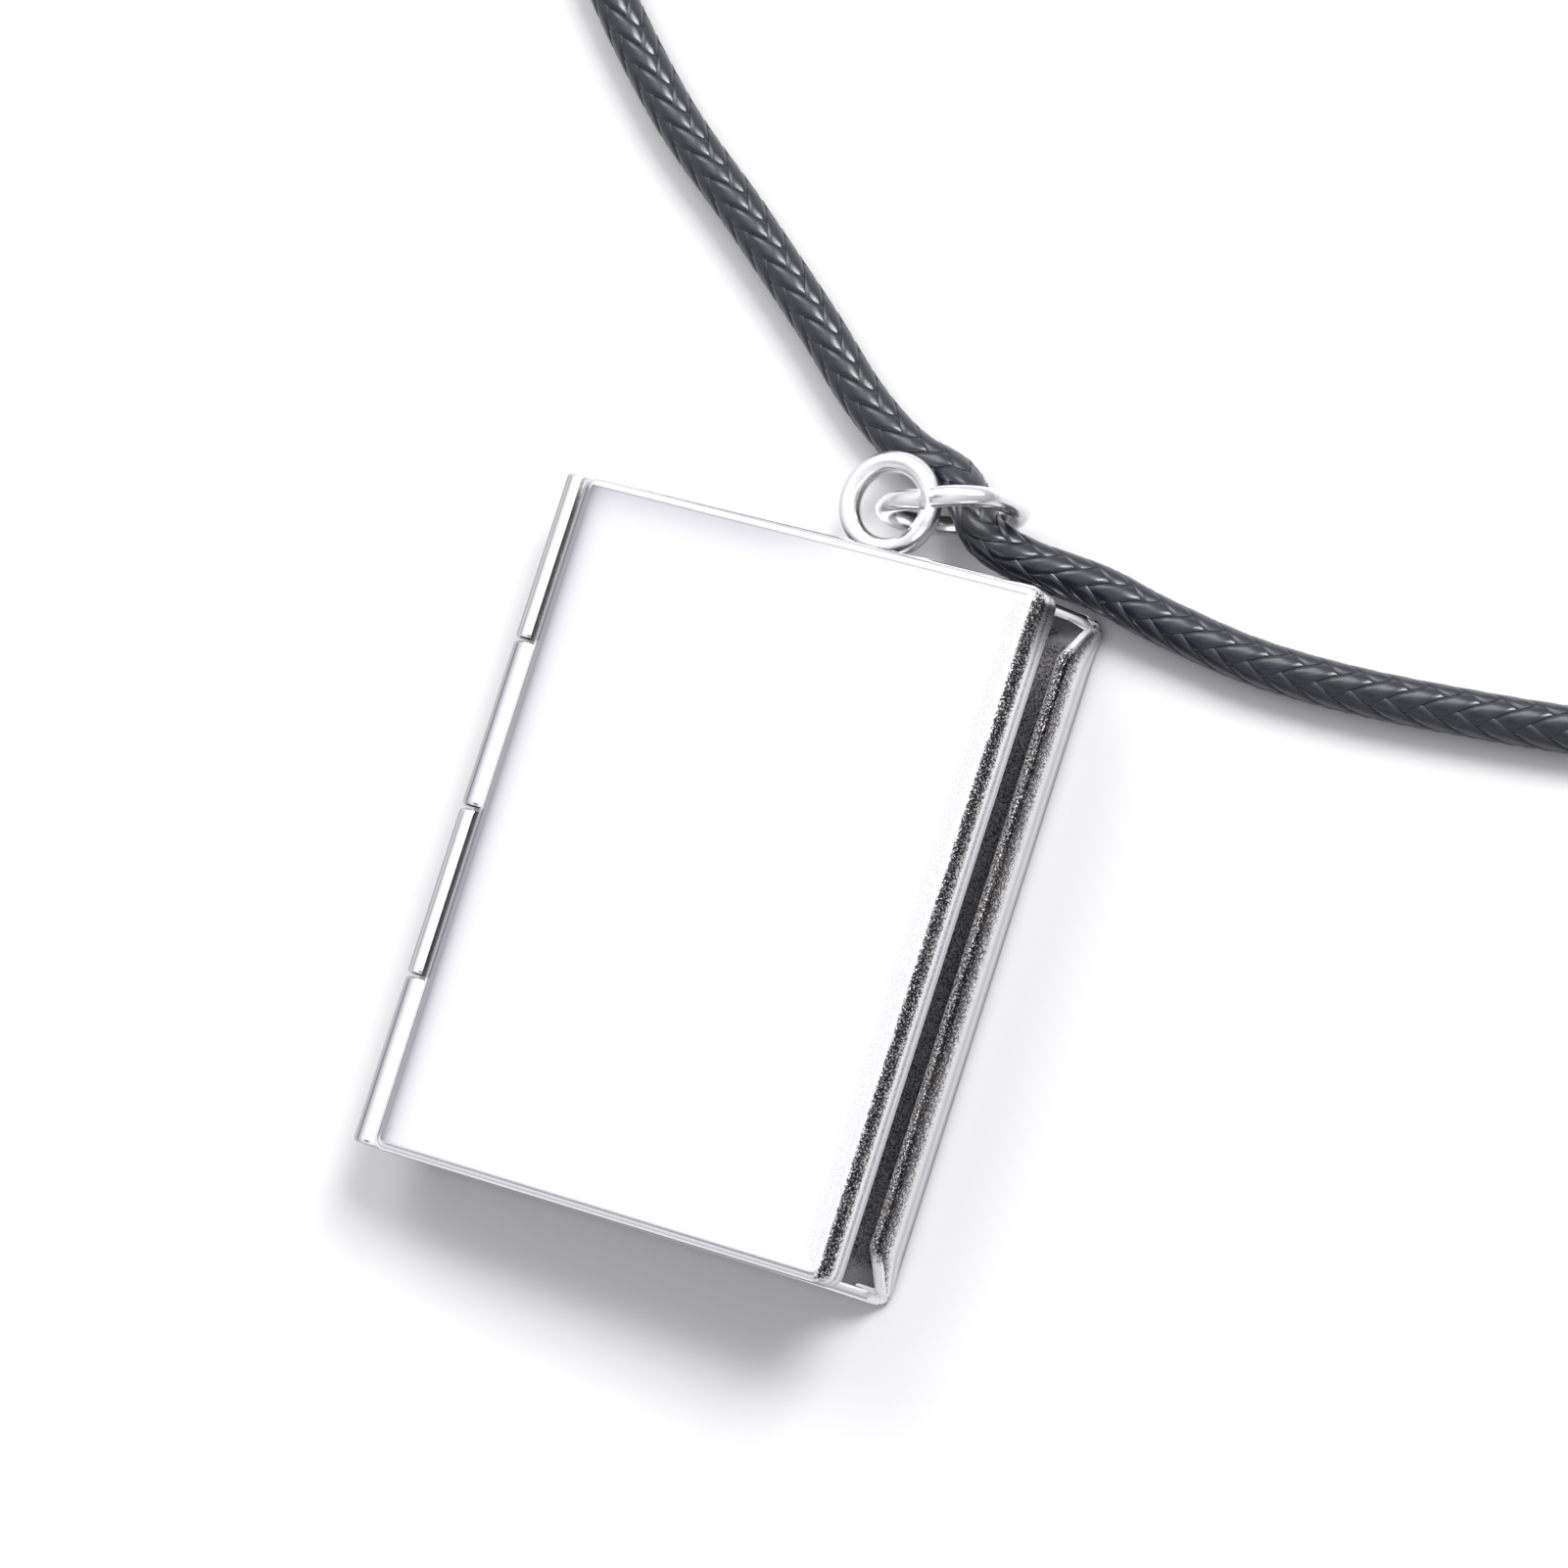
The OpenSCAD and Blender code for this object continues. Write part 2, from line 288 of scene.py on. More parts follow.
# Brightness of the tent by height, from left to right, and from front to back
TENT_UP = ((0, 0.55), (0.15, 0.75), (0.3, 0.88), (0.6, 1), (1, 1))
TENT_ACROSS = ((0, 0.6), (0.006, 0.72), (0.02, 0.93), (0.05, 1), (0.55, 1), (0.8, 0.65), (1, 0.5))
TENT_ALONG = ((0, 0.72), (0.15, 0.78), (0.5, 1), (1, 1))
TENT_STRENGTH = 1.2
# Way to the tent's dark front opening, and brightness by the cosine of the angle from it
OPENING_WAY = (-0.445, -0.33, 0.832)
OPENING = ((0, 1), (0.948, 1), (0.977, 0.45), (1, 0.3))
# Soft lights: side in metres, power in watts, and place
SOFTBOX = (0.35, 11.3, (0.36, 0.5, 0.62))
SECOND_SOFTBOX = (0.5, 4.5, (-0.4, 0.6, 0.62))


def make_camera():
    """The photograph's camera."""
    data = bpy.data.cameras.new("camera")
    data.sensor_width = SENSOR
    data.lens = LENS
    data.clip_start = CLIP_NEAR
    data.clip_end = CLIP_FAR
    camera = bpy.data.objects.new("camera", data)
    bpy.context.scene.collection.objects.link(camera)
    up = [-c for c in CAMERA_DOWN]
    back = [-c for c in CAMERA_FORWARD]
    axes = Matrix((CAMERA_RIGHT, up, back)).transposed()
    camera.matrix_world = Matrix.Translation(Vector(CAMERA_AT) * MM) @ axes.to_4x4()
    bpy.context.scene.camera = camera


def by_table(table, value):
    """Value read from a table of places and values."""
    places, values = np.array(table).T
    return np.interp(value, places, values)


def add_mesh(name, verts, faces, material, uv=None, wear_and_painted_shade=None, smooth=True):
    """A mesh object from points in millimetres."""
    mesh = bpy.data.meshes.new(name)
    mesh.from_pydata((np.asarray(verts) * MM).tolist(), [], [list(map(int, f)) for f in faces])
    if uv is not None:
        layer = mesh.uv_layers.new(name="UVMap")
        loops = np.empty(len(mesh.loops), np.int32)
        mesh.loops.foreach_get("vertex_index", loops)
        layer.data.foreach_set("uv", np.asarray(uv, np.float32)[loops].ravel())
    if wear_and_painted_shade is not None:
        colours = mesh.color_attributes.new("wear_and_painted_shade", "FLOAT_COLOR", "POINT")
        colours.data.foreach_set("color", np.asarray(wear_and_painted_shade, np.float32).ravel())
    mesh.polygons.foreach_set("use_smooth", [smooth] * len(mesh.polygons))
    mesh.materials.append(material)
    obj = bpy.data.objects.new(name, mesh)
    bpy.context.scene.collection.objects.link(obj)
    return obj


def grid_faces(rows, cols, start=0, wrap=False):
    """Quads of a grid of points, row after row, closed across its columns where wrap is set."""
    last = cols if wrap else cols - 1
    r, c = np.meshgrid(np.arange(rows - 1), np.arange(last), indexing="ij")
    a = start + r * cols + c
    b = start + r * cols + (c + 1) % cols
    return np.stack([a, b, b + cols, a + cols], -1).reshape(-1, 4)


def end_faces(rows, cols):
    """The two flat faces that close a tube of rows of points."""
    return [list(range(cols))[::-1], [(rows - 1) * cols + k for k in range(cols)]]


def smooth_path(points, step):
    """Smooth curve through the points, resampled at even steps: positions and the distance along."""
    p = np.array(points, float)
    p = np.vstack([2 * p[0] - p[1], p, 2 * p[-1] - p[-2]])
    t = np.linspace(0, 1, ROUTE_PARTS, endpoint=False)[:, None]
    parts = []
    for a, b, c, d in zip(p, p[1:], p[2:], p[3:]):
        bowed = (2 * a - 5 * b + 4 * c - d) * t ** 2
        twisted = (3 * b - a - 3 * c + d) * t ** 3
        parts.append(0.5 * (2 * b + (c - a) * t + bowed + twisted))
    line = np.vstack(parts + [p[-2:-1]])
    line[:, 2] = np.maximum(line[:, 2], CORD_R)
    along = np.r_[0, np.cumsum(np.linalg.norm(np.diff(line, axis=0), axis=1))]
    s = np.linspace(0, along[-1], int(round(along[-1] / step)) + 1)
    return np.stack([np.interp(s, along, line[:, k]) for k in range(3)], 1), s


class CordLine:
    """The cord's axis with a side and an up direction at every distance along it."""

    def __init__(self):
        route = [(x, y, z + CORD_R) for x, y, z in CORD_ROUTE]
        self.points, self.s = smooth_path(route, ROUTE_STEP)
        ahead = np.gradient(self.points, axis=0)
        ahead = ahead / np.linalg.norm(ahead, axis=1)[:, None]
        side = np.cross([0, 0, 1], ahead)
        self.side = side / np.linalg.norm(side, axis=1)[:, None]
        self.up = np.cross(ahead, self.side)
        self.length = self.s[-1]

    def pick(self, table, s):
        """Rows of a table at distances s along."""
        return np.stack([np.interp(s, self.s, table[:, k]) for k in range(3)], -1)

    def at(self, s, angle, r):
        """Points at distance s along, turned by angle around the axis, r away from it."""
        s = np.clip(s, 0, self.length)
        sideways = np.cos(angle)[..., None] * self.pick(self.side, s)
        upward = np.sin(angle)[..., None] * self.pick(self.up, s)
        return self.pick(self.points, s) + np.asarray(r)[..., None] * (sideways + upward)


def strand_path(line, way, offset):
    """Middle of a strand at each place where it is drawn: angle round the cord, distance along, lift."""
    ends = (offset, way * BRAID_RATE * line.length + offset)
    stretches = np.arange(math.floor(min(ends) / STRETCH) - 1, math.ceil(max(ends) / STRETCH) + 1)
    dives = (stretches % 2 == 0) == (way > 0)
    starts = stretches + CHANGE_AT + np.where(dives, STRAND_OVERLAP, -STRAND_OVERLAP)
    stops = np.array(STRAND_STOPS)
    centre = (STRETCH * (starts[:, None] + stops[None, :])).ravel()
    level = (np.where(dives, 1, -1)[:, None] * np.where(stops < 0, 1, -1)[None, :]).ravel()
    s = (centre - offset) / (way * BRAID_RATE)
    keep = (s > -STRAND_W) & (s < line.length + STRAND_W)
    return centre[keep], s[keep], BRAID_SWING * level[keep]


def make_strand(line, way, offset):
    """Points of one flat strand, row after row, and their places on its width and along the cord."""
    slant = math.atan(BRAID_RATE * CORD_R)
    width, drop = np.array(STRAND_EDGE).T
    across = width * STRAND_W / math.sin(2 * slant)
    centre, s, lift = strand_path(line, way, offset)
    along = s[:, None] + math.cos(slant) * across[None, :]
    aside = way * math.sin(slant) * across[None, :] / CORD_R
    angle = centre[:, None] - aside + math.radians(BRAID_TURN)
    points = line.at(along, angle, (BRAID_R + lift)[:, None] + drop[None, :])
    place = np.broadcast_arrays(np.linspace(0, 1, len(width))[None, :], s[:, None])
    return points, np.stack(place, -1)


def make_braid(line, material):
    """Flat strands that wind both ways and pass over two and under two."""
    verts, faces, uv = [], [], []
    for way in (1, -1):
        for n in range(STRANDS // 2):
            points, place = make_strand(line, way, STRETCH * n)
            faces.append(grid_faces(len(points), len(STRAND_EDGE), sum(len(v) for v in verts)))
            verts.append(points.reshape(-1, 3))
            uv.append(place.reshape(-1, 2))
    return add_mesh("braided_cord", np.vstack(verts), np.vstack(faces), material, np.vstack(uv))


def make_core(line, material):
    """Round core under the braid."""
    around = np.linspace(0, 2 * math.pi, CORE_SIDES, endpoint=False)
    s = np.linspace(0, line.length, int(line.length / CORE_STEP) + 1)
    s, angle = np.meshgrid(s, around, indexing="ij")
    points = line.at(s, angle, np.full(s.shape, BRAID_CORE_R))
    faces = grid_faces(*s.shape, wrap=True).tolist() + end_faces(*s.shape)
    return add_mesh("cord_core", points.reshape(-1, 3), faces, material)


def make_cord(material, inside_material):
    """The braided cord, which stands in for the plain one."""
    line = CordLine()
    for piece in (make_braid(line, material), make_core(line, inside_material)):
        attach(piece, "locket")
        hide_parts("cord")


class Shape:
    """Points, faces, and wear and painted shade of one metal piece: dark grain, partly painted darkness,
    grey painted shade, roughness and mattness.
    """

    def __init__(self):
        self.verts = []
        self.faces = []
        self.wear_and_painted_shade = []
        self.count = 0

    def add(self, verts, faces, wear_and_painted_shade=None):
        """Adds points and the faces between them; without wear and painted shade they are clean."""
        verts = np.asarray(verts, float).reshape(-1, 3)
        self.faces += [[int(v) + self.count for v in face] for face in faces]
        self.verts.append(verts)
        self.wear_and_painted_shade.append(np.zeros((len(verts), 4)) if wear_and_painted_shade is None else wear_and_painted_shade)
        self.count += len(verts)

    def build(self, name, node, body, material, move=None):
        """Makes the object, which stands in for one CAD node and rides its body."""
        verts = np.vstack(self.verts)
        verts = move(verts) if move else verts
        piece = add_mesh(name, verts, self.faces, material, wear_and_painted_shade=np.vstack(self.wear_and_painted_shade))
        tidy = bmesh.new()
        tidy.from_mesh(piece.data)
        bmesh.ops.remove_doubles(tidy, verts=tidy.verts, dist=SAME_POINT * MM)
        bmesh.ops.recalc_face_normals(tidy, faces=tidy.faces)
        tidy.to_mesh(piece.data)
        tidy.free()
        piece.data.set_sharp_from_angle(angle=math.radians(SHARP_ANGLE))
        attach(piece, body)
        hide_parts(node)


def rounded_outline(stops):
    """Points round a cover's outline and the outward direction at each, with extra stops on each side."""
    points, out = [], []
    for k in range(4):
        reach, half = (COVER_W / 2, COVER_H / 2) if k % 2 == 0 else (COVER_H / 2, COVER_W / 2)
        normal = np.array([math.cos(math.pi / 2 * k), math.sin(math.pi / 2 * k)])
        ahead = np.array([-normal[1], normal[0]])
        straight = half - CORNER_R
        for q in sorted({-straight, straight} | {q for q in stops[k] if abs(q) < straight}):
            points.append(reach * normal + q * ahead)
            out.append(normal)
        for step in range(1, CORNER_STEPS):
            turn = math.pi / 2 * step / CORNER_STEPS
            away = math.cos(turn) * normal + math.sin(turn) * ahead
            points.append((reach - CORNER_R) * normal + straight * ahead + CORNER_R * away)
            out.append(away)
    return np.array(points), np.array(out)


def knuckle_span(i, gap):
    """Lower and upper end of one knuckle's place along the hinge, counted from the top."""
    length = COVER_H / KNUCKLES
    return COVER_H / 2 - (i + 1) * length + gap, COVER_H / 2 - i * length - gap


def cut_for_knuckles(x, y, top, first, hinge_height):
    """Lowers a wall's height where it leaves room for the other cover's knuckles."""
    reach = np.maximum((BARREL_R + BARREL_GAP) ** 2 - (x - HINGE_X) ** 2, 0)
    floor = np.where(reach > 0, hinge_height - np.sqrt(reach), top)
    for i in range(first, KNUCKLES, 2):
        low, high = knuckle_span(i, -KNUCKLE_GAP / 2)
        top = np.where((y > low) & (y < high), np.minimum(top, floor), top)
    return top


def back_top(x, y):
    """Height of the back cover's wall: notched at the corners and cut out for knuckles."""
    slope = (BACK_DEPTH - NOTCH_FOOT) / NOTCH_W
    from_x = COVER_W / 2 - np.abs(x)
    from_y = COVER_H / 2 - np.abs(y)
    top = np.full(x.shape, BACK_DEPTH)
    top = np.where(from_x < SHEET + TINY, np.minimum(top, NOTCH_FOOT + slope * from_y), top)
    top = np.where(from_y < SHEET + TINY, np.minimum(top, NOTCH_FOOT + slope * from_x), top)
    return cut_for_knuckles(x, y, top, 1, HINGE_Z)


def front_top(x, y):
    """Height of the front cover's wall, measured from its face."""
    top = np.full(x.shape, FRONT_DEPTH)
    return cut_for_knuckles(x, y, top, 0, FRONT_DEPTH + RIM_GAP / 2)


def tray_stops():
    """Extra stops on a tray's right, upper, left and lower side, where its wall's height changes."""
    breaks = []
    for i in range(KNUCKLES):
        for end in knuckle_span(i, -KNUCKLE_GAP / 2):
            breaks += [-end - TINY, -end + TINY]
    notch_y = COVER_H / 2 - NOTCH_W
    notch_x = COVER_W / 2 - NOTCH_W
    corner_y = COVER_H / 2 - np.array(CORNER_STOPS)
    corner_x = COVER_W / 2 - np.array(CORNER_STOPS)
    on_sides = [-notch_y, notch_y, *corner_y, *-corner_y]
    on_ends = [*np.linspace(-notch_x, notch_x, NOTCH_STOPS), *corner_x, *-corner_x]
    return [on_sides, on_ends, on_sides + breaks, on_ends]


def tray_layers():
    """Loops of a tray, from its face round the bend, up the wall, over the rim and into its floor."""
    layers = [("face", inset) for inset in FACE_INSETS]
    layers += [("bend", math.pi / 2 * step / BEND_STEPS) for step in range(BEND_STEPS + 1)]
    layers += [("wall", step / WALL_STEPS) for step in range(1, WALL_STEPS + 1)]
    layers += [("rim", math.radians(turn)) for turn in RIM_TURNS]
    layers += [("lip", LIP_EDGE), ("lip", 0)]
    layers += [("inside", inset) for inset in INSIDE_INSETS]
    return layers


def layer_inset(kind, value, bend, rim_round):
    """How far in from the outline one loop of a tray lies."""
    level = min(value / FACE_EVEN, 1)
    return {
        "face": bend * (1 - level) + (BEND_R + HINGE_SIDE_BEND) * level + value,
        "bend": bend * (1 - math.sin(value)),
        "wall": 0 * bend,
        "rim": 0 * bend + rim_round * (1 - math.cos(value)),
        "lip": SHEET - value + 0 * bend,
        "inside": SHEET + value + 0 * bend,
    }[kind]


def layer_height(kind, value, bend, rim_round, top):
    """Height of one loop of a tray above its face."""
    height = {
        "face": 0 * bend,
        "bend": bend * (1 - math.cos(value)),
        "wall": bend + (top - rim_round - bend) * value,
        "rim": top - rim_round * (1 - math.sin(value)),
        "lip": top - LIP_EDGE + value,
        "inside": 0 * bend + SHEET + max(INNER_FILLET - value, 0),
    }[kind]
    return np.minimum(height, top)


def add_tray(shape, top_at, wear_and_painted_shade_at, rim_round):
    """Adds a shallow sheet-metal tray: face, rounded bend, wall, rounded rim, inner wall and floor."""
    points, out = rounded_outline(tray_stops())
    half = np.array([COVER_W / 2, COVER_H / 2])
    at_hinge = HINGE_SIDE_BEND * np.maximum(-out[:, 0], 0)
    at_lower_end = LOWER_END_BEND * np.maximum(-out[:, 1], 0)
    bend = BEND_R + at_hinge + at_lower_end
    verts, wear_and_painted_shade = [], []
    for kind, value in tray_layers():
        inset = layer_inset(kind, value, bend, rim_round)
        xy = points - np.minimum(inset, CORNER_R)[:, None] * out
        xy *= (half - np.maximum(inset, CORNER_R)[:, None]) / (half - CORNER_R)
        height = layer_height(kind, value, bend, rim_round, top_at(xy[:, 0], xy[:, 1]))
        verts.append(np.column_stack([xy, height]))
        wear_and_painted_shade.append(wear_and_painted_shade_at(kind, value, height, xy, out))
    faces = grid_faces(len(verts), len(points), wrap=True).tolist() + end_faces(len(verts), len(points))
    shape.add(np.vstack(verts), faces, np.vstack(wear_and_painted_shade))


def wear_and_painted_shade_columns(grain, shade, rough, matt, out):
    """Four values of wear and painted shade for every point of one loop."""
    return np.column_stack([value + 0 * out[:, 0] for value in (grain, shade, rough, matt)])


def beside_rolled(y):
    """True where the hinge's place at y belongs to a rolled knuckle."""
    return np.floor((COVER_H / 2 - y) / (COVER_H / KNUCKLES)) % 2 == 0


def side_wear_and_painted_shade(table, height, right):
    """Dark grain, darkened as a painted dark reflection, and grey painted shade of a right-hand wall at a
    height, fading round the corners.
    """
    heights, grain, shade = np.array(table).T
    return np.interp(height, heights, grain) * right ** 2, np.interp(height, heights, shade) * right ** 2


def crease(out):
    """Painted shade in the fine crease where the face turns into its upper and lower edges."""
    return np.where(out[:, 1] > 0, *CREASE_SHADE) * (np.abs(out[:, 1]) > 0.9)


def outer_line(turn, out):
    """Painted shade line along the outside of the upper and lower edges, a painted contact shadow at the
    lower one.
    """
    strength = np.where(out[:, 1] > 0, *OUTER_SHADE) * np.abs(out[:, 1]) ** 4
    return by_table(OUTER_LINE, turn) * strength


def front_face_wear_and_painted_shade(value, xy, out):
    """Wear and painted shade of the front face: painted shade beside the hinge and under the upper edge,
    faint specks at the right.
    """
    right = np.maximum(out[:, 0], 0)
    from_hinge = np.maximum(COVER_W / 2 + xy[:, 0] - BEND_R - HINGE_SIDE_BEND, 0)
    from_top = np.maximum(COVER_H / 2 - xy[:, 1] - BEND_R, 0)
    strength, reach = HINGE_SHADE
    beside_hinge = strength * np.exp(-from_hinge / reach)
    strength, reach = TOP_SHADE
    under_top = strength * np.exp(-(from_top / reach) ** 1.5) * by_table(TOP_FADE, xy[:, 0])
    fold = crease(out) * (value == FACE_INSETS[-1])
    shade = 1 - (1 - beside_hinge) * (1 - under_top) * (1 - fold)
    strength, reach = FACE_ROUGH
    rough = strength * right * (value < reach)
    return wear_and_painted_shade_columns(by_table(FACE_SPECKS, value) * right ** 2, shade, rough, 0, out)


def front_bend_wear_and_painted_shade(turn, xy, out):
    """Wear and painted shade of the front cover's bend: dark grain at the right, darkened as a painted dark
    reflection, painted shade along the hinge.
    """
    right, left = np.maximum(out[:, 0], 0), np.maximum(-out[:, 0], 0)
    lower = np.maximum(-out[:, 1], 0)
    grain = by_table(FRONT_BEND_GRAIN_AND_DARK_REFLECTION, turn) * right ** 2
    reach = np.where(beside_rolled(xy[:, 1]), *HINGE_BEND_REACH)
    at_hinge = HINGE_BEND_SHADE * left ** 2 * np.exp(-(turn / reach) ** 4)
    shade = at_hinge + LOWER_BEND_SHADE * lower ** 2 + crease(out) * (turn == 0)
    shade = np.minimum(shade + outer_line(turn, out), 1)
    return wear_and_painted_shade_columns(grain, shade, 0.2 + 0.8 * right, 0, out)


def front_wear_and_painted_shade(kind, value, height, xy, out):
    """Wear and painted shade of one loop of the front cover."""
    right = np.maximum(out[:, 0], 0)
    if kind == "face":
        return front_face_wear_and_painted_shade(value, xy, out)
    if kind == "bend":
        return front_bend_wear_and_painted_shade(math.degrees(value), xy, out)
    if kind == "wall":
        grain, shade = side_wear_and_painted_shade(FRONT_SIDE, height, right)
        return wear_and_painted_shade_columns(grain, shade + outer_line(90, out), 0.6 * right, 0, out)
    if kind == "inside":
        return wear_and_painted_shade_columns(*FRONT_INSIDE_PAINTED_SHADE, out)
    return wear_and_painted_shade_columns(0, 0.75 * right, 0.3, 0, out)


def back_inside_painted_shade(xy, out):
    """Painted shade of the back cover's inside: darker towards the slot, painted lighter patches in the two
    open corners.
    """
    from_right = COVER_W / 2 - xy[:, 0]
    corner_x, corner_y = OPEN_CORNER
    upper_corner = (from_right < corner_x) & (xy[:, 1] > COVER_H / 2 - corner_y)
    lower_corner = (from_right < corner_x) & (xy[:, 1] < corner_y - COVER_H / 2)
    open_corner = upper_corner | lower_corner
    grain = np.where(open_corner, OPEN_CORNER_GRAIN, by_table(BACK_INSIDE_PAINTED_DARK, from_right))
    shade = np.where(lower_corner, LOWER_CORNER_SHADE, by_table(BACK_INSIDE_SHADE, from_right))
    shade = np.where(upper_corner, UPPER_CORNER_SHADE, shade)
    return wear_and_painted_shade_columns(grain, shade, 0.3, 1, out)


def back_wear_and_painted_shade(kind, value, height, xy, out):
    """Wear and painted shade of one loop of the back cover: dark grain high on its right-hand wall,
    darkened as a painted dark reflection, painted grey on the rim and inside.
    """
    right = np.maximum(out[:, 0], 0)
    in_notch = height < BACK_DEPTH - BACK_RIM_ROUND - 0.02
    if kind in ("bend", "wall"):
        top = back_top(xy[:, 0], xy[:, 1])
        grain, shade = side_wear_and_painted_shade(BACK_SIDE, height * (BACK_DEPTH / top) ** NOTCH_SQUEEZE, right)
        return wear_and_painted_shade_columns(grain, shade, right, 0, out)
    if kind == "rim":
        turn = math.degrees(value)
        grain = by_table(BACK_RIM_GRAIN_AND_DARK_REFLECTION, turn) * ~in_notch * right ** 2
        return wear_and_painted_shade_columns(grain, 0, right, by_table(BACK_RIM_MATT, turn), out)
    if kind == "lip":
        return wear_and_painted_shade_columns(0.55 * (value > 0) * right * ~in_notch, 0.1, right, 0.8, out)
    return back_inside_painted_shade(xy, out)


def lathe(shape, profile, place, wear_and_painted_shade_at=None):
    """Adds a closed turned form; profile gives radius and distance along the axis, place maps to space."""
    turn = np.linspace(0, 2 * math.pi, LATHE_STEPS, endpoint=False)
    profile = np.array(profile)
    radius, along = profile[:, :1], profile[:, 1:] + 0 * turn
    verts = place(radius * np.cos(turn), along, radius * np.sin(turn))
    wear_and_painted_shade = wear_and_painted_shade_at(radius + 0 * turn, turn + 0 * radius) if wear_and_painted_shade_at else None
    faces = grid_faces(len(profile), LATHE_STEPS, wrap=True)
    closing = grid_faces(2, LATHE_STEPS, wrap=True)
    closing[closing >= LATHE_STEPS] += (len(profile) - 2) * LATHE_STEPS
    shape.add(verts, faces.tolist() + closing.tolist(), wear_and_painted_shade)


def mirrored(profile, ends):
    """A profile of radius and place, and its mirror image; ends is the sum of its two ends' places."""
    return profile + [(r, ends - y) for r, y in reversed(profile)]


def round_hinge(x, y, z):
    """Points measured from the hinge's axis, put in their places."""
    return np.stack([HINGE_X + x, y, HINGE_Z + z], -1)


def knuckle_end(low):
    """Radius and place along the hinge of the rounding at a knuckle's lower end."""
    return [
        (BARREL_R - KNUCKLE_ROUND * inward, low + KNUCKLE_ROUND * along)
        for along, inward in KNUCKLE_END
    ]


def curl_painted_shade(turn, inner, edge):
    """Painted shade of one row of a rolled knuckle: by angle outside, plain painted shade inside and at its
    ends.
    """
    shade = np.where(inner, 0.5, by_table(ROLLED_BARREL, np.degrees(turn)))
    grain = np.where(inner, 0.1, by_table(OUTLINE_PAINTED_DARK, np.degrees(turn)))
    return np.column_stack([grain, shade, 0 * turn, 0.5 * (inner | edge)])


def add_curls(shape, first):
    """Adds every other knuckle as a strip rolled round the pin, its lip short of the covers."""
    angle = np.radians(np.linspace(CURL_FROM, CURL_TO, CURL_STEPS))
    around = 2 * CURL_STEPS
    for i in range(first, KNUCKLES, 2):
        low, high = knuckle_span(i, KNUCKLE_GAP / 2)
        sections = mirrored(knuckle_end(low), low + high)
        verts, wear_and_painted_shade = [], []
        for outer, y in sections:
            for radius, turn in ((outer, angle), (BORE_R, angle[::-1])):
                verts.append(round_hinge(radius * np.sin(turn), 0 * turn + y, radius * np.cos(turn)))
                edge = turn == angle[-1]
                inner = (radius == BORE_R or y in (low, high)) & ~edge
                wear_and_painted_shade.append(curl_painted_shade(turn, inner, edge))
        faces = grid_faces(len(sections), around, wrap=True).tolist()
        for at in (0, (len(sections) - 1) * around):
            for k in range(CURL_STEPS - 1):
                faces.append([at + k, at + k + 1, at + around - 2 - k, at + around - 1 - k])
        shape.add(np.vstack(verts), faces, np.vstack(wear_and_painted_shade))


def add_knuckles(shape, first):
    """Adds every other knuckle as a full tube with a bore and rounded ends."""
    for i in range(first, KNUCKLES, 2):
        low, high = knuckle_span(i, KNUCKLE_GAP / 2)
        profile = mirrored([(BORE_R, low)] + knuckle_end(low), low + high)
        lathe(shape, profile, round_hinge, barrel_painted_shade)


def barrel_painted_shade(radius, turn):
    """Painted shade on the outside of a full knuckle, by the angle from straight up, and painted dark on
    its end faces.
    """
    from_up = (90 - np.degrees(turn) + 180) % 360 - 180
    shade = by_table(PLAIN_BARREL, from_up)
    end_face = radius <= BARREL_R - KNUCKLE_ROUND + TINY
    return np.stack([0.7 * end_face, shade, 0 * shade, 0 * shade], -1).reshape(-1, 4)


def pin_painted_shade(radius, turn):
    """The same wear and painted shade all over the pin."""
    return np.tile(PIN_PAINTED_SHADE, (radius.size, 1))


def make_pin(material):
    """Hinge pin, dull, with painted shade where it lies inside the barrel."""
    shape = Shape()
    end = (COVER_H - KNUCKLE_GAP) / 2
    profile = mirrored([(AXIS_R, end), (PIN_R - PIN_EDGE, end), (PIN_R, end - PIN_EDGE)], 0)
    lathe(shape, profile, round_hinge, pin_painted_shade)
    shape.build("barrel_pin", "hinge_pin", "locket", material)


def end_bend(distance):
    """How much of its bend a split ring's wire has at an angle from its end, in radians."""
    return np.clip(1 - distance / SPLIT_BEND, 0, 1)[:, None] ** 1.5


def ring_wire(shape, radius, wire, place, wear_and_painted_shade, split=0.0):
    """Adds a round wire ring, closed or with a split whose ends stand out of line with each other."""
    full = 2 * math.pi
    if split:
        gap = math.radians(split) / 2
        turn = np.linspace(gap, full - gap, RING_STEPS + 1)
    else:
        turn = np.linspace(0, full, RING_STEPS, endpoint=False)
    round_wire = np.linspace(0, full, RING_SIDES, endpoint=False)
    out = radius + wire / 2 * np.cos(round_wire)[None, :] + 0 * turn[:, None]
    side = wire / 2 * np.sin(round_wire)[None, :] + 0 * turn[:, None]
    if split:
        left = end_bend(full - turn)
        out += LEFT_END_OUT * left
        out -= RIGHT_END_IN * end_bend(turn)
        side += LEFT_END_FORWARD * left
    verts = place(out * np.cos(turn)[:, None], out * np.sin(turn)[:, None], side)
    faces = grid_faces(len(turn), RING_SIDES, wrap=True).tolist()
    if split:
        faces += end_faces(len(turn), RING_SIDES)
    else:
        seam = grid_faces(2, RING_SIDES, wrap=True)
        last_row = seam + (len(turn) - 1) * RING_SIDES
        faces += np.where(seam < RING_SIDES, last_row, seam - RING_SIDES).tolist()
    shape.add(verts, faces, np.tile(wear_and_painted_shade, (turn.size * RING_SIDES, 1)))


def flat_eye(a, b, side):
    """Points of the soldered ring, which lies flat at the top wall."""
    return np.stack([EYE_AT[0] + a, EYE_AT[1] + b, EYE_AT[2] + side], -1)


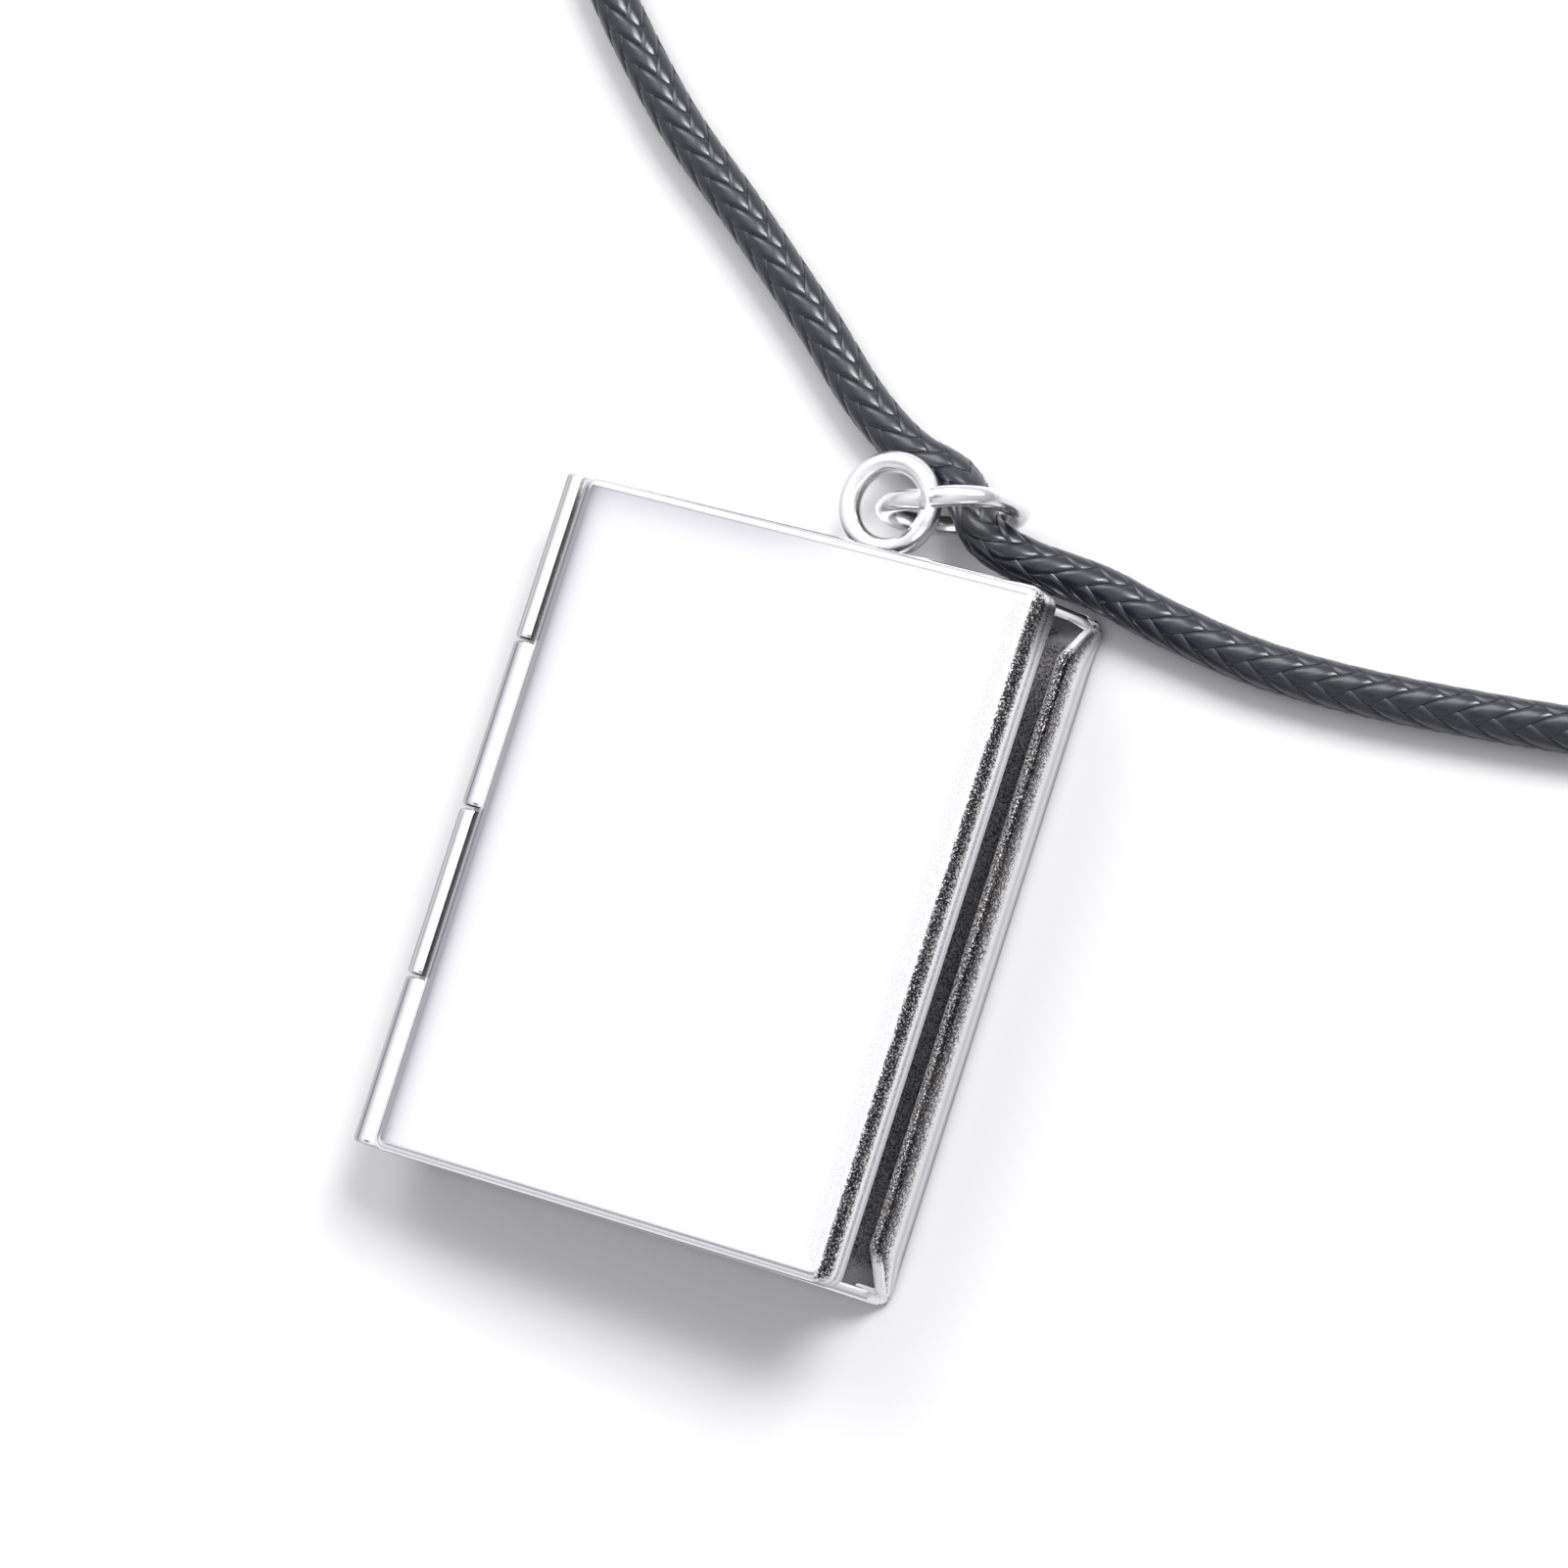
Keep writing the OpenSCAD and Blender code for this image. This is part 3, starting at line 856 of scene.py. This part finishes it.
def upright_ring(a, b, side):
    """Points of the jump ring, which stands upright with its split on top."""
    c, s = math.cos(math.radians(JUMP_TURN)), math.sin(math.radians(JUMP_TURN))
    x = JUMP_AT[0] + c * b + s * side
    y = JUMP_AT[1] + s * b - c * side
    return np.stack([x, y, JUMP_AT[2] + a + 0 * side], -1)


def along_clasp(x, y, z):
    """Points of the clasp, whose axis runs across."""
    return np.stack([CLASP_AT[0] + y, CLASP_AT[1] + x, CLASP_AT[2] + z], -1)


def opened(verts):
    """Points of the front cover turned about the hinge by its opening at rest."""
    c, s = math.cos(math.radians(REST_OPEN)), math.sin(math.radians(REST_OPEN))
    x, z = verts[:, 0] - HINGE_X, verts[:, 2] - HINGE_Z
    return np.column_stack([HINGE_X + c * x - s * z, verts[:, 1], HINGE_Z + s * x + c * z])


def make_back_cover(material):
    """Back tray with its two knuckles and the soldered ring."""
    shape = Shape()
    add_tray(shape, back_top, back_wear_and_painted_shade, BACK_RIM_ROUND)
    add_curls(shape, 0)
    ring_wire(shape, EYE_R, EYE_WIRE, flat_eye, EYE_WEAR)
    shape.build("back_shell", "back_cover", "locket", material)


def make_front_cover(material):
    """Front tray, face up, with its two knuckles, turned open about the hinge."""
    shape = Shape()
    add_tray(shape, front_top, front_wear_and_painted_shade, FRONT_RIM_ROUND)
    shape.verts[0][:, 2] = BACK_DEPTH + RIM_GAP + FRONT_DEPTH - shape.verts[0][:, 2]
    add_knuckles(shape, 1)
    shape.build("front_shell", "front_cover", "cover", material, opened)


def make_jump_ring(material):
    """Upright split ring, its two ends slightly out of line."""
    shape = Shape()
    ring_wire(shape, JUMP_R, JUMP_WIRE, upright_ring, RING_WEAR, SPLIT_ANGLE)
    shape.build("split_ring", "jump_ring", "locket", material)


def make_clasp(material):
    """Plain round clasp with an open socket at each end."""
    shape = Shape()
    half = CLASP_LEN / 2
    chamfer = 0.3 * CLASP_ROUND
    socket = [(AXIS_R, half - SOCKET_LEN), (SOCKET_R, half - SOCKET_LEN), (SOCKET_R, half)]
    outer = [(CLASP_R - CLASP_ROUND, half), (CLASP_R - chamfer, half - chamfer)]
    outer += [(CLASP_R, half - CLASP_ROUND)]
    lathe(shape, mirrored(socket + outer, 0), along_clasp)
    shape.build("round_clasp", "clasp", "locket", material)


class NodeTree:
    """Adds and joins the nodes of a material or a world."""

    def __init__(self, owner):
        owner.use_nodes = True
        self.nodes = owner.node_tree.nodes
        self.join = owner.node_tree.links.new

    def add(self, kind, **values):
        """A new node; each value goes to the input or the setting of its name."""
        made = self.nodes.new(kind)
        for key, value in values.items():
            if key in made.inputs:
                made.inputs[key].default_value = value
            else:
                setattr(made, key, value)
        return made

    def give(self, socket, value):
        """Joins another node's output to a socket, or sets the socket to a number or colour."""
        if isinstance(value, bpy.types.NodeSocket):
            self.join(value, socket)
        else:
            socket.default_value = value

    def mapped(self, value, low, high, to_low=0, to_high=1):
        """The value moved from one range to another and held within it."""
        made = self.add("ShaderNodeMapRange")
        numbers = {"From Min": low, "From Max": high, "To Min": to_low, "To Max": to_high}
        for key, number in {"Value": value, **numbers}.items():
            self.give(made.inputs[key], number)
        return made.outputs["Result"]

    def calculate(self, operation, a, b):
        """The result of one sum on two values."""
        made = self.add("ShaderNodeMath", operation=operation)
        for socket, value in zip(made.inputs, (a, b)):
            self.give(socket, value)
        return made.outputs[0]

    def mix(self, factor, first, second, blend="MIX"):
        """Two colours mixed by a factor."""
        made = self.add("ShaderNodeMix", data_type="RGBA", blend_type=blend)
        for socket, value in ((made.inputs[0], factor), (made.inputs[6], first), (made.inputs[7], second)):
            self.give(socket, value)
        return made.outputs[2]

    def noise(self, where, scale, detail, roughness):
        """Noise at a place, with one scale or with three along the axes."""
        if isinstance(scale, tuple):
            stretched = self.add("ShaderNodeMapping", Scale=scale)
            self.join(where, stretched.inputs["Vector"])
            where = stretched.outputs["Vector"]
            scale = 1.0
        made = self.add("ShaderNodeTexNoise", Scale=scale, Detail=detail, Roughness=roughness)
        self.join(where, made.inputs["Vector"])
        return made.outputs["Fac"]

    def bump(self, height, strength, distance):
        """A normal roughened by a height."""
        made = self.add("ShaderNodeBump", Strength=strength, Distance=distance)
        self.join(height, made.inputs["Height"])
        return made.outputs["Normal"]


def new_material(name):
    """An empty node material, its tree and its shader's inputs."""
    material = bpy.data.materials.new(name)
    tree = NodeTree(material)
    return material, tree, tree.nodes["Principled BSDF"].inputs


def plain_material(name, colour, roughness):
    """A material of one colour, for the stage and for what hardly shows."""
    material, _, shader = new_material(name)
    shader["Base Color"].default_value = colour
    shader["Roughness"].default_value = roughness
    return material


def steel_material():
    """Polished steel: fine scratches, coarse dark speckle and painted darkness, and grey painted shade,
    where the wear and painted shade layer asks for them.
    """
    material, tree, shader = new_material("polished_steel")
    shader["Metallic"].default_value = 1.0
    where = tree.add("ShaderNodeTexCoord").outputs["Object"]
    wear_and_painted_shade = tree.add("ShaderNodeAttribute", attribute_name="wear_and_painted_shade")
    part = tree.add("ShaderNodeSeparateColor")
    tree.join(wear_and_painted_shade.outputs["Color"], part.inputs[0])
    # Dark grain, which is partly painted darkness, grey painted shade, and roughness
    grain_and_painted_dark, shade, rough = part.outputs

    grain = tree.noise(where, GRAIN_SCALE, 3.0, 0.6)
    swing = tree.mapped(grain, *NOISE_RANGE, -SPECK_SWING, SPECK_SWING)
    specks = tree.calculate("MULTIPLY", swing, tree.mapped(grain_and_painted_dark, 0, SPECK_FULL))
    dark = tree.mapped(tree.calculate("ADD", grain_and_painted_dark, specks), 0, 1)
    patches = tree.mapped(tree.noise(where, TINT_SCALE, 2.0, 0.55), *BROWN_RANGE)
    tint = tree.mix(patches, BLACK_GRAIN, BROWN_GRAIN)
    # Grey painted shade mixed into the steel's own colour
    steel_with_painted_shade = tree.mix(shade, CLEAN_STEEL, SHADED_STEEL)
    tree.join(tree.mix(dark, steel_with_painted_shade, tint), shader["Base Color"])

    polish = tree.mapped(tree.noise(where, GLOSS_SCALE, 4.0, 0.55), *NOISE_RANGE, *POLISH)
    gloss = tree.calculate("ADD", polish, tree.calculate("MULTIPLY", rough, ROUGH_STEP))
    matt = tree.calculate("MULTIPLY", wear_and_painted_shade.outputs["Alpha"], MATT_STEP)
    tree.join(tree.calculate("ADD", gloss, matt), shader["Roughness"])

    scratch = tree.calculate("MULTIPLY", tree.noise(where, SCRATCH_SCALE, 3.0, 0.6), SCRATCH_DEPTH)
    height = tree.calculate("ADD", scratch, tree.calculate("MULTIPLY", grain, rough))
    tree.join(tree.bump(height, *STEEL_BUMP), shader["Normal"])
    return material


def cord_material():
    """Black waxed yarn: flat strands with fine filaments, with painted shade and dullness along their
    edges.
    """
    material, tree, shader = new_material("waxed_cord")
    shader["Specular IOR Level"].default_value = YARN_SPECULAR
    where = tree.add("ShaderNodeUVMap").outputs["UV"]
    across = tree.add("ShaderNodeSeparateXYZ")
    tree.join(where, across.inputs[0])
    edge = tree.calculate("PINGPONG", across.outputs["X"], 0.5)

    yarn = tree.noise(where, YARN_SCALE, 3.0, 0.6)
    tone = tree.mix(tree.mapped(yarn, *NOISE_RANGE), YARN_DARK, YARN_LIGHT)
    # Painted shade in the seams between the strands
    tree.join(tree.mix(tree.mapped(edge, *SEAM_SHADE_ENDS), SEAM_PAINTED_SHADE, tone), shader["Base Color"])
    tree.join(tree.mapped(edge, *DULL_EDGE_ENDS, *YARN_ROUGH), shader["Roughness"])
    tree.join(tree.bump(yarn, *YARN_BUMP), shader["Normal"])
    return material


def make_floor():
    """Pale, slightly glossy surface under the necklace."""
    material = plain_material("floor", FLOOR_GREY, 0.35)
    half = FLOOR_HALF
    corners = [(-half, -half, 0), (half, -half, 0), (half, half, 0), (-half, half, 0)]
    floor = add_mesh("floor", corners, [[0, 1, 2, 3]], material, smooth=False)


def add_softbox(name, size, energy, place):
    """Adds a square area light that faces the origin and doesn't show in the picture."""
    lamp = bpy.data.lights.new(name, "AREA")
    lamp.shape = "SQUARE"
    lamp.size = size
    lamp.energy = energy
    box = bpy.data.objects.new(name, lamp)
    box.location = place
    box.rotation_euler = (-box.location).to_track_quat("-Z", "Y").to_euler()
    box.visible_camera = False
    bpy.context.scene.collection.objects.link(box)


def brightness(tree, value, stops):
    """Grey read from a colour ramp."""
    made = tree.add("ShaderNodeValToRGB")
    points = made.color_ramp.elements
    while len(points) < len(stops):
        points.new(1)
    for point, (place, grey) in zip(points, stops):
        point.position = place
        point.color = (grey, grey, grey * 1.01, 1)
    tree.join(value, made.inputs[0])
    return made.outputs[0]


def make_tent():
    """White tent all round, greyer low down and at its far ends, with a dark opening at the front."""
    world = bpy.data.worlds.new("tent")
    bpy.context.scene.world = world
    tree = NodeTree(world)
    way = tree.add("ShaderNodeTexCoord").outputs["Generated"]
    axes = tree.add("ShaderNodeSeparateXYZ")
    tree.join(way, axes.inputs[0])
    toward = tree.add("ShaderNodeVectorMath", operation="DOT_PRODUCT")
    toward.inputs[1].default_value = OPENING_WAY
    tree.join(way, toward.inputs[0])
    across = brightness(tree, tree.mapped(axes.outputs["X"], -1, 1), TENT_ACROSS)
    along = brightness(tree, tree.mapped(axes.outputs["Y"], -1, 1), TENT_ALONG)
    up = brightness(tree, axes.outputs["Z"], TENT_UP)
    opening = brightness(tree, toward.outputs["Value"], OPENING)
    level = tree.mix(1, across, along, "MULTIPLY")
    upright = tree.mix(1, up, opening, "MULTIPLY")
    background = tree.nodes["Background"].inputs
    tree.join(tree.mix(1, level, upright, "MULTIPLY"), background["Color"])
    background["Strength"].default_value = TENT_STRENGTH


def make_light():
    """High-key studio: the tent and two soft lights above."""
    make_tent()
    add_softbox("softbox", *SOFTBOX)
    add_softbox("second_softbox", *SECOND_SOFTBOX)
    bpy.context.scene.view_settings.view_transform = "Standard"


make_camera()
make_cord(cord_material(), plain_material("cord_inside", CORD_INSIDE, 0.8))
steel = steel_material()
make_back_cover(steel)
make_front_cover(steel)
make_pin(steel)
make_jump_ring(steel)
make_clasp(steel)
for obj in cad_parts.values():
    obj.data.materials.clear()
    obj.data.materials.append(steel)
make_floor()
make_light()
